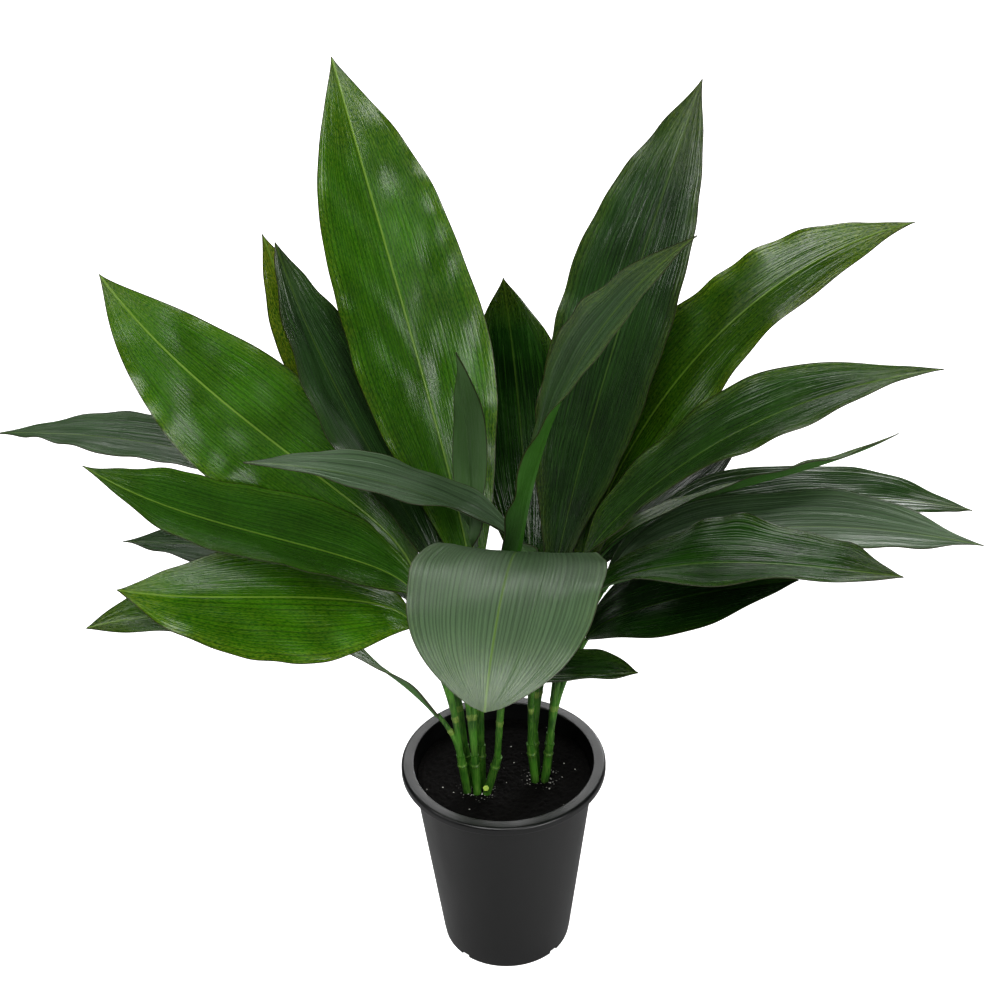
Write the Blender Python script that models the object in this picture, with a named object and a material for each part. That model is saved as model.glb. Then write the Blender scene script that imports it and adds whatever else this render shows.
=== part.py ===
"""Cast iron plant in a round nursery pot: pot, potting soil, nine forked stems and their leaf blades.

Metres, +Z up. The origin is the centre of the pot's underside and the pot stands on z = 0.
"""
import bmesh
import bpy
import numpy as np
from math import pi

# ---------------------------------------------------------------- pot
POT_HEIGHT = 0.186
POT_BASE_RADIUS = 0.0537
POT_WALL_TOP_RADIUS = 0.0755
POT_WALL = 0.0020
POT_FLOOR = 0.0025
POT_EDGE_ROUND = 0.0022
RIM_RADIUS = 0.0850
RIM_HEIGHT = 0.0075
RIM_ROUND = 0.0026
POT_SEGMENTS = 48
DRAIN_WIDTH = 0.0085
DRAIN_HEIGHT = 0.0042
DRAIN_ANGLES = (-43.0, 47.0, 137.0, 227.0)

# ---------------------------------------------------------------- soil
GAP = 0.0003
SOIL_TOP = 0.1720
SOIL_CROWN = 0.0012
SOCKET_DEPTH = 0.0200
SOCKET_SIDES = 12

# ---------------------------------------------------------------- stems
CANE_RADIUS = 0.0035
CANE_LENGTH = 0.038
CANE_RING = 0.0044
CANE_SIDES = 10
PETIOLE_BASE_RADIUS = 0.0027
PETIOLE_TIP_RADIUS = 0.0019
PETIOLE_RING = 0.0032
PETIOLE_RING_AT = 0.042
PETIOLE_SIDES = 6
PETIOLE_ROWS = 7
PETIOLE_STEPS = 60

# cane: (x, y) on the soil, compass angle it leans to, lean from upright in degrees
CANES = {
    "a": (-0.0305, -0.0215, 205, 7),
    "b": (-0.0222, -0.0232, 200, 2),
    "c": (-0.0140, -0.0238, 350, 14),
    "d": (-0.0185, -0.0148, 80, 5),
    "e": (-0.0275, -0.0128, 160, 6),
    "f": (0.0258, -0.0098, 200, 5),
    "g": (0.0340, -0.0100, 345, 6),
    "h": (0.0270, -0.0010, 110, 6),
    "i": (0.0355, -0.0015, 40, 7),
}
STUB_CANE = "c"
STUB_LENGTH = 0.0095
STUB_RADIUS = 0.0024
STUB_AZIMUTH = 262
STUB_LEAN = 38

# ---------------------------------------------------------------- leaves
BLADE_EDGE = 0.0006
BLADE_MID = 0.0028
BLADE_TIP_HALF = 0.0006
BLADE_BASE_HALF = 0.0021
BLADE_COLUMNS = (-1.0, -0.55, 0.0, 0.55, 1.0)
BLADE_ROWS = 12
SPINE_STEPS = 120
BLADE_EASE = 0.25


def leaf(cane, petiole, petiole_lean, length, width, azimuth, lean, roll=(0, 0, 0),
         fold=(20, 12), wave=(0.003, 2.0, 0), start=None, taper=0.88, fall=0.95):
    """One leaf: lengths in metres, angles in degrees; three angles are base, middle and tip."""
    turn = start if start else (azimuth[0], azimuth[0])
    return dict(cane=cane, petiole=petiole, petiole_lean=petiole_lean, length=length, width=width,
                azimuth=azimuth, lean=lean, roll=roll, fold=fold, wave=wave, start=turn, taper=taper,
                fall=fall)


LEAVES = {
    "leaf_01": leaf("d", 0.145, (2, 10), 0.435, 0.116, (136, 126, 118), (13, 24, 32),
                    roll=(-10, -10, -10), start=(60, 120), wave=(0.0025, 2.0, 40), taper=1.08),
    "leaf_02": leaf("d", 0.160, (4, 12), 0.313, 0.080, (138, 139, 136), (48, 44, 22),
                    roll=(-10, -10, -10), wave=(0.003, 1.7, 100)),
    "leaf_03": leaf("b", 0.170, (4, 11), 0.298, 0.088, (160, 146, 126), (29, 32, 28),
                    roll=(6, 6, 6), wave=(0.003, 2.2, 200)),
    "leaf_04": leaf("e", 0.180, (5, 18), 0.336, 0.104, (170, 169, 167), (44, 49, 31),
                    roll=(-60, -60, -55), fold=(12, 4), wave=(0.002, 1.8, 10)),
    "leaf_05": leaf("e", 0.175, (4, 20), 0.398, 0.072, (160, 159, 158), (62, 87, 104),
                    start=(150, 155), wave=(0.003, 2.3, 60)),
    "leaf_06": leaf("a", 0.160, (4, 14), 0.298, 0.090, (192, 189, 187), (47, 65, 46),
                    roll=(-10, -10, -10), wave=(0.004, 1.8, 150)),
    "leaf_07": leaf("e", 0.150, (6, 25), 0.252, 0.070, (168, 165, 162), (66, 91, 98),
                    wave=(0.003, 1.6, 250)),
    "leaf_08": leaf("a", 0.145, (4, 22), 0.246, 0.106, (194, 197, 196), (57, 76, 66),
                    roll=(-25, -25, -20), fold=(-8, -16), wave=(0.0035, 1.7, 30)),
    "leaf_09": leaf("a", 0.050, (10, 30), 0.312, 0.086, (188, 186, 188), (30, 66, 102),
                    roll=(22, 16, -10), fold=(6, 14), wave=(0.004, 2.6, 0), taper=1.9),
    "leaf_10": leaf("c", 0.200, (7, 21), 0.304, 0.134, (267, 263, 259), (24, 66, 142),
                    fold=(4, -4), start=(305, 288), wave=(0.003, 1.5, 120), taper=0.95, fall=0.52),
    "leaf_11": leaf("f", 0.190, (2, 6), 0.268, 0.060, (206, 193, 180), (37, 60, 86),
                    start=(290, 260), wave=(0.003, 2.4, 90)),
    "leaf_12": leaf("b", 0.195, (2, 5), 0.195, 0.032, (290, 262, 235), (2, 6, 14),
                    fold=(35, 35), start=(70, 70), wave=(0.001, 2.0, 10)),
    "leaf_13": leaf("h", 0.140, (4, 16), 0.276, 0.088, (92, 94, 96), (36, 58, 66),
                    wave=(0.003, 1.8, 300)),
    "leaf_14": leaf("h", 0.135, (4, 12), 0.426, 0.108, (38, 42, 46), (13, 23, 29),
                    roll=(5, 5, 5), wave=(0.0025, 2.1, 220), taper=1.1),
    "leaf_15": leaf("c", 0.200, (6, 16), 0.380, 0.064, (300, 323, 341), (10, 21, 47),
                    roll=(20, 35, 42), fold=(30, 15), start=(300, 288), wave=(0.003, 2.0, 330)),
    "leaf_16": leaf("i", 0.150, (5, 13), 0.410, 0.086, (16, 11, 8), (17, 39, 81),
                    roll=(25, 25, 20), start=(32, 22), wave=(0.005, 2.3, 140)),
    "leaf_17": leaf("i", 0.185, (6, 15), 0.354, 0.088, (-20, -15, -7), (30, 50, 79),
                    roll=(10, 10, 0), start=(-60, -40), wave=(0.004, 1.9, 20)),
    "leaf_18": leaf("h", 0.140, (8, 32), 0.210, 0.090, (44, 38, 32), (58, 72, 83),
                    wave=(0.003, 1.6, 80)),
    "leaf_19": leaf("i", 0.155, (8, 28), 0.332, 0.085, (16, 14, 12), (62, 93, 111),
                    wave=(0.003, 2.2, 170)),
    "leaf_20": leaf("g", 0.165, (6, 24), 0.311, 0.082, (355, 355, 354), (50, 84, 101),
                    wave=(0.004, 2.1, 260)),
    "leaf_21": leaf("g", 0.160, (5, 20), 0.282, 0.093, (329, 331, 334), (44, 71, 82),
                    wave=(0.004, 2.4, 50)),
    "leaf_22": leaf("i", 0.165, (6, 18), 0.270, 0.034, (9, 7, 4), (41, 77, 60),
                    roll=(-10, -30, -33), start=(14, 11), wave=(0.002, 1.5, 0)),
    "leaf_23": leaf("g", 0.120, (6, 24), 0.184, 0.086, (345, 349, 352), (52, 68, 80),
                    roll=(16, 16, 12), wave=(0.003, 1.6, 190)),
    "leaf_24": leaf("f", 0.074, (4, 14), 0.122, 0.056, (296, 322, 336), (50, 64, 70),
                    start=(270, 290), fold=(26, 22), wave=(0.003, 1.8, 240)),
}


# ---------------------------------------------------------------- materials
def material(name, colour, roughness, coat=0.0):
    made = bpy.data.materials.new(name)
    made.use_nodes = True
    shader = made.node_tree.nodes["Principled BSDF"]
    shader.inputs["Base Color"].default_value = colour + (1.0,)
    shader.inputs["Roughness"].default_value = roughness
    shader.inputs["Coat Weight"].default_value = coat
    made.diffuse_color = colour + (1.0,)
    return made


def pot_material():
    return material("moulded_black_plastic", (0.028, 0.028, 0.030), 0.42)


def soil_material():
    return material("dark_peat", (0.006, 0.005, 0.005), 0.95)


def stem_material():
    return material("green_stem", (0.060, 0.150, 0.035), 0.40)


def leaf_material():
    return material("glossy_leaf", (0.022, 0.080, 0.016), 0.30, 0.3)


# ---------------------------------------------------------------- mesh helpers
def mesh_object(name, points, faces, surface, smooth=True, sharp=35.0):
    mesh = bpy.data.meshes.new(name)
    mesh.from_pydata([tuple(float(c) for c in p) for p in points], [], faces)
    mesh.materials.append(surface)
    made = bpy.data.objects.new(name, mesh)
    bpy.context.scene.collection.objects.link(made)
    work = bmesh.new()
    work.from_mesh(mesh)
    bmesh.ops.recalc_face_normals(work, faces=work.faces[:])
    work.to_mesh(mesh)
    work.free()
    if smooth:
        mesh.shade_smooth()
        mesh.set_sharp_from_angle(angle=sharp * pi / 180.0)
    return made


def lathe(profile, segments):
    """Closed (radius, height) profile turned round +Z; a radius of zero is one point on the axis."""
    points = []
    rows = []
    for radius, height in profile:
        if radius == 0.0:
            rows.append([len(points)] * segments)
            points.append((0.0, 0.0, height))
            continue
        start = len(points)
        rows.append(list(range(start, start + segments)))
        for k in range(segments):
            turn = 2.0 * pi * k / segments
            points.append((radius * np.cos(turn), radius * np.sin(turn), height))
    faces = []
    count = len(rows)
    closed = profile[0][0] != 0.0
    for i in range(count if closed else count - 1):
        lower = rows[i]
        upper = rows[(i + 1) % count]
        for k in range(segments):
            n = (k + 1) % segments
            loop = [lower[k], lower[n], upper[n], upper[k]]
            face = [p for j, p in enumerate(loop) if p not in loop[:j]]
            if len(face) > 2:
                faces.append(face)
    return points, faces


def tube(path, radii, sides):
    """Round closed tube swept along a path with one radius for each point."""
    path = np.asarray(path)
    ahead = np.gradient(path, axis=0)
    ahead /= np.linalg.norm(ahead, axis=1)[:, None]
    side = np.cross(ahead, (0.31, 0.95, 0.04))
    side /= np.linalg.norm(side, axis=1)[:, None]
    up = np.cross(ahead, side)
    turn = np.arange(sides) * 2.0 * pi / sides
    ring = np.cos(turn)[None, :, None] * side[:, None, :] + np.sin(turn)[None, :, None] * up[:, None, :]
    points = path[:, None, :] + np.asarray(radii)[:, None, None] * ring
    faces = []
    rows = len(path)
    for i in range(rows - 1):
        for k in range(sides):
            n = (k + 1) % sides
            faces.append([i * sides + k, i * sides + n, (i + 1) * sides + n, (i + 1) * sides + k])
    faces.append(list(range(sides))[::-1])
    faces.append([(rows - 1) * sides + k for k in range(sides)])
    return points.reshape(-1, 3), faces


def combine(target, others, operation):
    """Exact Boolean of the target with each other object; the others are taken away."""
    for other in others:
        step = target.modifiers.new("combine", "BOOLEAN")
        step.operation = operation
        step.solver = "EXACT"
        step.object = other
        bpy.context.view_layer.update()
        graph = bpy.context.evaluated_depsgraph_get()
        result = bpy.data.meshes.new_from_object(target.evaluated_get(graph))
        target.modifiers.clear()
        old = target.data
        target.data = result
        bpy.data.meshes.remove(old)
        spent = other.data
        bpy.data.objects.remove(other)
        bpy.data.meshes.remove(spent)
    target.data.name = target.name
    target.data.shade_smooth()
    target.data.set_sharp_from_angle(angle=35.0 * pi / 180.0)
    return target


# ---------------------------------------------------------------- leaf geometry
def direction(azimuth, lean):
    turn = np.radians(azimuth)
    tilt = np.radians(lean)
    return np.stack([np.sin(tilt) * np.cos(turn), np.sin(tilt) * np.sin(turn), np.cos(tilt)], -1)


def through(values, v):
    """Smooth run through three values at the base, middle and tip."""
    base, middle, tip = values
    return base * (1 - v) * (1 - 2 * v) + middle * 4 * v * (1 - v) + tip * v * (2 * v - 1)


def fork_point(cane):
    x, y, azimuth, lean = CANES[cane]
    return np.array([x, y, SOIL_TOP]) + direction(azimuth, lean) * CANE_LENGTH


def petiole_path(data):
    """Points from inside the cane's fork to the foot of the blade."""
    s = np.linspace(0.0, 1.0, PETIOLE_STEPS + 1)
    azimuth = data["start"][0] + (data["start"][1] - data["start"][0]) * s
    first, last = data["petiole_lean"]
    lean = first + (last - first) * s * s * (3 - 2 * s)
    ways = direction(azimuth, lean)
    step = data["petiole"] / PETIOLE_STEPS
    moved = np.cumsum((ways[1:] + ways[:-1]) / 2 * step, axis=0)
    origin = fork_point(data["cane"])
    return np.vstack([origin, origin + moved])


def half_width(data, v):
    rise = data["taper"]
    fall = data["fall"]
    peak = rise / (rise + fall)
    shape = np.clip(v, 0, 1) ** rise * np.clip(1 - v, 0, 1) ** fall
    shape = shape / (peak ** rise * (1 - peak) ** fall)
    full = data["width"] / 2 * shape
    foot = BLADE_BASE_HALF * (1 - v) ** 3
    return np.sqrt(full ** 2 + foot ** 2 + (BLADE_TIP_HALF * v) ** 2)


def blade_frames(data, v):
    """Spine points, across directions and up-facing normals at the fractions v of the blade's length."""
    fine = np.linspace(0.0, 1.0, SPINE_STEPS + 1)
    ease = np.clip(1 - fine / BLADE_EASE, 0.0, 1.0) ** 2
    azimuth = through(data["azimuth"], fine)
    azimuth = azimuth + (data["start"][1] - azimuth[0]) * ease
    lean = through(data["lean"], fine)
    lean = lean + (data["petiole_lean"][1] - lean[0]) * ease
    roll = np.radians(through(data["roll"], fine))[:, None]
    ways = direction(azimuth, lean)
    step = data["length"] / SPINE_STEPS
    foot = petiole_path(data)
    end = foot[-1] - foot[-2]
    origin = foot[-1] + end / np.linalg.norm(end) * GAP
    spine = np.vstack([origin, origin + np.cumsum((ways[1:] + ways[:-1]) / 2 * step, axis=0)])
    turn = np.radians(azimuth)
    tilt = np.radians(lean)
    facing = np.stack([-np.cos(tilt) * np.cos(turn), -np.cos(tilt) * np.sin(turn), np.sin(tilt)], -1)
    across = np.cross(ways, facing)
    normal = facing * np.cos(roll) + across * np.sin(roll)
    across = across * np.cos(roll) - facing * np.sin(roll)
    found = []
    for rows in (spine, across, normal):
        found.append(np.stack([np.interp(v, fine, rows[:, k]) for k in range(3)], -1))
    return found


def blade_grid(data, columns, rows):
    """Upper surface of the blade as rows x columns of points, with the up-facing normal of each row."""
    v = np.linspace(0.0, 1.0, rows)
    spine, across, normal = blade_frames(data, v)
    half = half_width(data, v)
    u = np.asarray(columns)
    fold = np.radians(data["fold"][0] + (data["fold"][1] - data["fold"][0]) * v)
    cup = np.sqrt(u * u + 0.0225) - 0.15
    lateral = half[:, None] * u[None, :] * np.cos(fold)[:, None]
    raised = half[:, None] * cup[None, :] * np.sin(fold)[:, None]
    height, cycles, phase = data["wave"]
    swell = np.abs(np.sin(pi * v)) ** 0.7
    shift = np.where(u < 0, 0.0, 2.2)
    ripple = np.sin(2 * pi * (cycles * v[:, None] + phase / 360.0) + shift[None, :])
    raised = raised + height * swell[:, None] * np.abs(u)[None, :] ** 1.6 * ripple
    points = spine[:, None, :] + across[:, None, :] * lateral[:, :, None]
    points = points + normal[:, None, :] * raised[:, :, None]
    return points, normal, half, v


# ---------------------------------------------------------------- sub-parts
def build_pot():
    slope = (POT_WALL_TOP_RADIUS - POT_BASE_RADIUS) / (POT_HEIGHT - RIM_HEIGHT)
    under = POT_HEIGHT - RIM_HEIGHT
    inner = POT_BASE_RADIUS - POT_WALL + slope * POT_FLOOR
    profile = [(0.0, 0.0)]
    for k in range(5):
        turn = k / 4 * pi / 2
        profile.append((POT_BASE_RADIUS - POT_EDGE_ROUND + POT_EDGE_ROUND * np.sin(turn),
                        POT_EDGE_ROUND - POT_EDGE_ROUND * np.cos(turn)))
    for k in range(1, 5):
        height = POT_EDGE_ROUND + (under - POT_EDGE_ROUND) * k / 4
        profile.append((POT_BASE_RADIUS + slope * height, height))
    profile.append((RIM_RADIUS - 0.0008, under + 0.0004))
    for k in range(5):
        turn = k / 4 * pi / 2
        profile.append((RIM_RADIUS - RIM_ROUND + RIM_ROUND * np.cos(turn) - 0.0002,
                        POT_HEIGHT - RIM_ROUND + RIM_ROUND * np.sin(turn)))
    lip = POT_BASE_RADIUS - POT_WALL + slope * POT_HEIGHT
    profile.append((lip + 0.0012, POT_HEIGHT))
    profile.append((lip, POT_HEIGHT - 0.0012))
    profile.append((inner, POT_FLOOR))
    profile.append((0.0, POT_FLOOR))
    points, faces = lathe(profile, POT_SEGMENTS)
    pot = mesh_object("pot", points, faces, pot_material())
    cutters = []
    for angle in DRAIN_ANGLES:
        cutters.append(drain_cutter(angle))
    return combine(pot, cutters, "DIFFERENCE")


def drain_cutter(angle):
    near = POT_BASE_RADIUS - 0.0090
    far = POT_BASE_RADIUS + 0.0100
    turn = angle * pi / 180.0
    out = np.array([np.cos(turn), np.sin(turn), 0.0])
    side = np.array([-np.sin(turn), np.cos(turn), 0.0])
    points = []
    for reach in (near, far):
        for across in (-DRAIN_WIDTH / 2, DRAIN_WIDTH / 2):
            for height in (-0.003, DRAIN_HEIGHT):
                points.append(out * reach + side * across + np.array([0.0, 0.0, height]))
    faces = [[0, 1, 3, 2], [4, 6, 7, 5], [0, 4, 5, 1], [2, 3, 7, 6], [0, 2, 6, 4], [1, 5, 7, 3]]
    return mesh_object("drain", points, faces, pot_material(), smooth=False)


def build_soil():
    slope = (POT_WALL_TOP_RADIUS - POT_BASE_RADIUS) / (POT_HEIGHT - RIM_HEIGHT)
    inner = POT_BASE_RADIUS - POT_WALL - GAP
    low = POT_FLOOR + GAP
    profile = [(0.0, low), (inner + slope * low, low)]
    profile.append((inner + slope * SOIL_TOP, SOIL_TOP - 0.0015))
    profile.append((inner + slope * SOIL_TOP - 0.004, SOIL_TOP - 0.0002))
    profile.append((0.045, SOIL_TOP + SOIL_CROWN * 0.3))
    profile.append((0.0, SOIL_TOP + SOIL_CROWN * 0.3))
    points, faces = lathe(profile, POT_SEGMENTS)
    soil = mesh_object("potting_soil", points, faces, soil_material())
    cutters = []
    for cane, (x, y, azimuth, lean) in CANES.items():
        path = [(x, y, SOIL_TOP - SOCKET_DEPTH - GAP), (x, y, SOIL_TOP + 0.01)]
        radii = [(CANE_RADIUS + GAP) / np.cos(pi / SOCKET_SIDES)] * 2
        points, faces = tube(path, radii, SOCKET_SIDES)
        cutters.append(mesh_object("socket", points, faces, soil_material(), smooth=False))
    return combine(soil, cutters, "DIFFERENCE")


def cane_tube(name, cane, surface):
    x, y, azimuth, lean = CANES[cane]
    foot = np.array([x, y, SOIL_TOP])
    way = direction(azimuth, lean)
    path = [foot - (0, 0, SOCKET_DEPTH), foot + (0, 0, 0.001)]
    radii = [CANE_RADIUS, CANE_RADIUS]
    ring = CANE_LENGTH - 0.008
    for along, radius in ((0.010, 0.0036), (ring - 0.003, 0.0037), (ring - 0.001, CANE_RING),
                          (ring + 0.001, CANE_RING), (ring + 0.0025, 0.0038), (CANE_LENGTH + 0.003, 0.0035)):
        path.append(foot + way * along)
        radii.append(radius)
    points, faces = tube(path, radii, CANE_SIDES)
    return mesh_object(name, points, faces, surface)


def petiole_tube(name, data, surface):
    path = petiole_path(data)
    length = data["petiole"]
    s = np.linspace(0.0, 1.0, PETIOLE_STEPS + 1)
    ring = min(PETIOLE_RING_AT, length * 0.6) / length
    wanted = list(np.linspace(0.0, 1.0, PETIOLE_ROWS))
    wanted = [a for a in wanted if abs(a - ring) > 0.03]
    wanted += [ring - 0.018, ring - 0.004, ring + 0.004, ring + 0.018]
    wanted.sort()
    places = np.array(wanted)
    points = np.stack([np.interp(places, s, path[:, k]) for k in range(3)], -1)
    radii = PETIOLE_BASE_RADIUS + (PETIOLE_TIP_RADIUS - PETIOLE_BASE_RADIUS) * places
    radii = np.where(np.abs(places - ring) < 0.006, PETIOLE_RING, radii)
    points, faces = tube(points, radii, PETIOLE_SIDES)
    return mesh_object(name, points, faces, surface)


def build_stem(cane, surface):
    stem = cane_tube("stem_" + cane, cane, surface)
    parts = [petiole_tube("petiole", data, surface) for data in LEAVES.values() if data["cane"] == cane]
    if cane == STUB_CANE:
        x, y, azimuth, lean = CANES[cane]
        foot = np.array([x, y, SOIL_TOP + 0.002])
        way = direction(STUB_AZIMUTH, STUB_LEAN)
        points, faces = tube([foot, foot + way * STUB_LENGTH], [STUB_RADIUS, STUB_RADIUS], PETIOLE_SIDES)
        parts.append(mesh_object("stub", points, faces, surface))
    return combine(stem, parts, "UNION")


def build_leaf(name, data, surface):
    upper, normal, half, v = blade_grid(data, BLADE_COLUMNS, BLADE_ROWS)
    u = np.abs(np.asarray(BLADE_COLUMNS))
    middle = BLADE_EDGE + (BLADE_MID - BLADE_EDGE) * (1 - v) ** 1.6
    depth = BLADE_EDGE + (middle - BLADE_EDGE)[:, None] * (1 - np.minimum(u / 0.5, 1.0))[None, :]
    foot = np.clip(1 - v * 12, 0, 1)[:, None] * (1 - u[None, :]) * 0.0004
    lower = upper - normal[:, None, :] * (depth + foot)[:, :, None]
    rows, columns = upper.shape[:2]
    points = np.vstack([upper.reshape(-1, 3), lower.reshape(-1, 3)])
    under = rows * columns
    faces = []
    for i in range(rows - 1):
        for k in range(columns - 1):
            a = i * columns + k
            faces.append([a, a + 1, a + columns + 1, a + columns])
            faces.append([under + a, under + a + columns, under + a + columns + 1, under + a + 1])
        for k in (0, columns - 1):
            a = i * columns + k
            faces.append([a, a + columns, under + a + columns, under + a])
    for i in (0, rows - 1):
        a = i * columns
        outline = [a + k for k in range(columns)] + [under + a + k for k in range(columns)][::-1]
        faces.append(outline)
    return mesh_object(name, points, faces, surface)


def build():
    for old in list(bpy.data.objects):
        bpy.data.objects.remove(old, do_unlink=True)
    build_pot()
    build_soil()
    green = stem_material()
    for cane in CANES:
        build_stem(cane, green)
    blade = leaf_material()
    for name, data in LEAVES.items():
        build_leaf(name, data, blade)
    for spare in list(bpy.data.materials):
        if spare.users == 0:
            bpy.data.materials.remove(spare)


build()
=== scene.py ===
# %% [markdown]
# # A potted cast iron plant, finished around its CAD frame
# The plant is twenty-four leaf blades on nine forked stems, standing in peat in a round nursery pot.
# The CAD model gives every place and size. This lesson makes fine meshes and finishes for the same
# pieces, in the same frame: metres, +Z up, the pot standing on z = 0.

# %% Load the frame
from math import cos, pi, radians, sin

import bmesh
import bpy
import numpy as np
from mathutils import Matrix, Vector


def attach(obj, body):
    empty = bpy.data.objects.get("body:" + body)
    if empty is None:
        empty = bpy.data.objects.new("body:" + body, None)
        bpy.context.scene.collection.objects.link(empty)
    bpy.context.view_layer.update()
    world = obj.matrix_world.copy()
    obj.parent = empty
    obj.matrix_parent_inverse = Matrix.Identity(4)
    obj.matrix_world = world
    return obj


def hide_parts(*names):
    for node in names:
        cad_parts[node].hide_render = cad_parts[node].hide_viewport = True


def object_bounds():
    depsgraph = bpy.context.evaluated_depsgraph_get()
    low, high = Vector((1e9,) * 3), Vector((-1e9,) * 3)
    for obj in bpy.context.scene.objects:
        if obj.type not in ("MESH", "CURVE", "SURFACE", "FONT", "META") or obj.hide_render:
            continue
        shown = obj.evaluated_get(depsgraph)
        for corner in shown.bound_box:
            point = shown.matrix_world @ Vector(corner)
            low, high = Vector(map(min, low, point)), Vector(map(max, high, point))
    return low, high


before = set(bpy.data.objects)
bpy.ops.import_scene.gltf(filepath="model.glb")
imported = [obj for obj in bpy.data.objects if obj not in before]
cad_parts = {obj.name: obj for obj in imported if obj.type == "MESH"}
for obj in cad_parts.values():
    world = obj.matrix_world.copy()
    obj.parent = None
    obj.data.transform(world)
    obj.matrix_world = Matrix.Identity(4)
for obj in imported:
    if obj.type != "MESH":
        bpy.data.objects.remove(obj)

CAD_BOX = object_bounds()
print("CAD nodes:", len(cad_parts), "box:", CAD_BOX)

# %% [markdown]
# ## Camera
# The plant is looked at from the front and from above. A short lens close by would stretch the leaves
# near the edge of the view, so a long one stands well back. The picture keeps plain display colours
# with a little extra contrast, because glossy leaves have deep shadows.

# %% Camera
LENS_PER_FRAME = 2.35  # focal length, in widths of the sensor
CAMERA_PLACE = (0.002, -1.491, 1.460)
CAMERA_DIP = 34.2  # degrees below level
CAMERA_ROLL = -1.3
EXPOSURE = 0.15

scene = bpy.context.scene
scene.view_settings.view_transform = "Standard"
scene.view_settings.look = "Medium High Contrast"
scene.view_settings.exposure = EXPOSURE
eye = bpy.data.cameras.new("camera")
eye.lens = eye.sensor_width * LENS_PER_FRAME
camera = bpy.data.objects.new("camera", eye)
camera.location = CAMERA_PLACE
camera.rotation_mode = "XYZ"
scene.collection.objects.link(camera)
dip = Matrix.Rotation(radians(90 - CAMERA_DIP), 3, "X")
roll = Matrix.Rotation(radians(CAMERA_ROLL), 3, "Z")
camera.rotation_euler = (dip @ roll).to_euler()
scene.camera = camera
print("lens", round(eye.lens, 1), "mm")


# %% [markdown]
# ## Two helpers for finishes
# Colours are written as sRGB hex, as on a paint card, and turned to the linear light a renderer wants.
# A finish could be set up by hand in the shader editor, but a script can be read and run again. One
# small function adds a node with its settings and its links, and every finish is built with it.

# %% Colour and node helpers
def linear(code):
    parts = [int(code[k:k + 2], 16) / 255 for k in (1, 3, 5)]
    return [p / 12.92 if p <= 0.04045 else ((p + 0.055) / 1.055) ** 2.4 for p in parts] + [1.0]


def add(tree, kind, inputs=(), **settings):
    """Adds a shader node. Settings are its own; inputs go in order or by name."""
    node = tree.nodes.new("ShaderNode" + kind)
    for name, value in settings.items():
        setattr(node, name, value)
    for name, value in inputs.items() if isinstance(inputs, dict) else enumerate(inputs):
        if isinstance(value, bpy.types.Node):
            value = next(socket for socket in value.outputs if socket.enabled)
        if isinstance(value, bpy.types.NodeSocket):
            tree.links.new(value, node.inputs[name])
        else:
            node.inputs[name].default_value = value
    return node


COLOURS = {"data_type": "RGBA"}  # a mix node that mixes colours


def new_finish(name):
    made = bpy.data.materials.new(name)
    made.use_nodes = True
    made.node_tree.nodes.clear()
    return made, made.node_tree


print("mid grey #808080 in linear light:", round(linear("#808080")[0], 3))


# %% [markdown]
# ## Floor and studio light
# A plain pale floor and big soft lamps. Waxy leaves show their shape mostly through what they mirror,
# so the lamps are large panels and the rest of the room is dark. The floor is two sheets, as when a
# studio lights paper apart from the plant: the upper one is bright and only the camera sees it,
# and the lower one, dimmer, is what the plant mirrors. The room seen past the paper is pale in the
# same way.

# %% Floor
FLOOR_SIZE = 14.0
PAPER_DROP = 0.0002
UNDERLAY_DROP = 0.0005
PAPER_SHADE, PAPER_GLOW = "#f2f2f2", 0.8
UNDERLAY_SHADE, UNDERLAY_GLOW = "#b0b0b0", 0.08
PAPER_FIBRE = 1 / 900  # metres across a fibre


def sheet_of(name, side, drop, shade, glow, seen_by_camera):
    half = side / 2
    mesh = bpy.data.meshes.new(name)
    corners = [(-half, -half, -drop), (half, -half, -drop), (half, half, -drop), (-half, half, -drop)]
    mesh.from_pydata(corners, [], [(0, 1, 2, 3)])
    made = bpy.data.objects.new(name, mesh)
    scene.collection.objects.link(made)
    made.visible_camera = seen_by_camera
    made.visible_diffuse = made.visible_glossy = not seen_by_camera
    made.visible_transmission = made.visible_shadow = not seen_by_camera
    paper, tree = new_finish(name + "_paper")
    fibre = add(tree, "TexNoise", {"Scale": 1 / PAPER_FIBRE})
    tooth = add(tree, "Bump", {"Height": fibre, "Strength": 0.2, "Distance": 0.0001})
    matt = add(tree, "BsdfPrincipled", {
        "Base Color": linear(shade), "Roughness": 0.9, "Specular IOR Level": 0.1, "Normal": tooth,
        "Emission Color": linear("#ffffff"), "Emission Strength": glow})
    add(tree, "OutputMaterial", {"Surface": matt})
    mesh.materials.append(paper)
    return made


sheet_of("floor", FLOOR_SIZE, PAPER_DROP, PAPER_SHADE, PAPER_GLOW, True)
sheet_of("underlay", FLOOR_SIZE, UNDERLAY_DROP, UNDERLAY_SHADE, UNDERLAY_GLOW, False)
print("paper sheets:", FLOOR_SIZE, "m wide, the upper one", PAPER_DROP, "m under the pot")

# %% [markdown]
# The key lights the greens from above the camera. The panels low at the right and left put the broad
# shine on the upright leaves, and those behind it shine on the leaves that lie flat. Powers are in watts.

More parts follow.
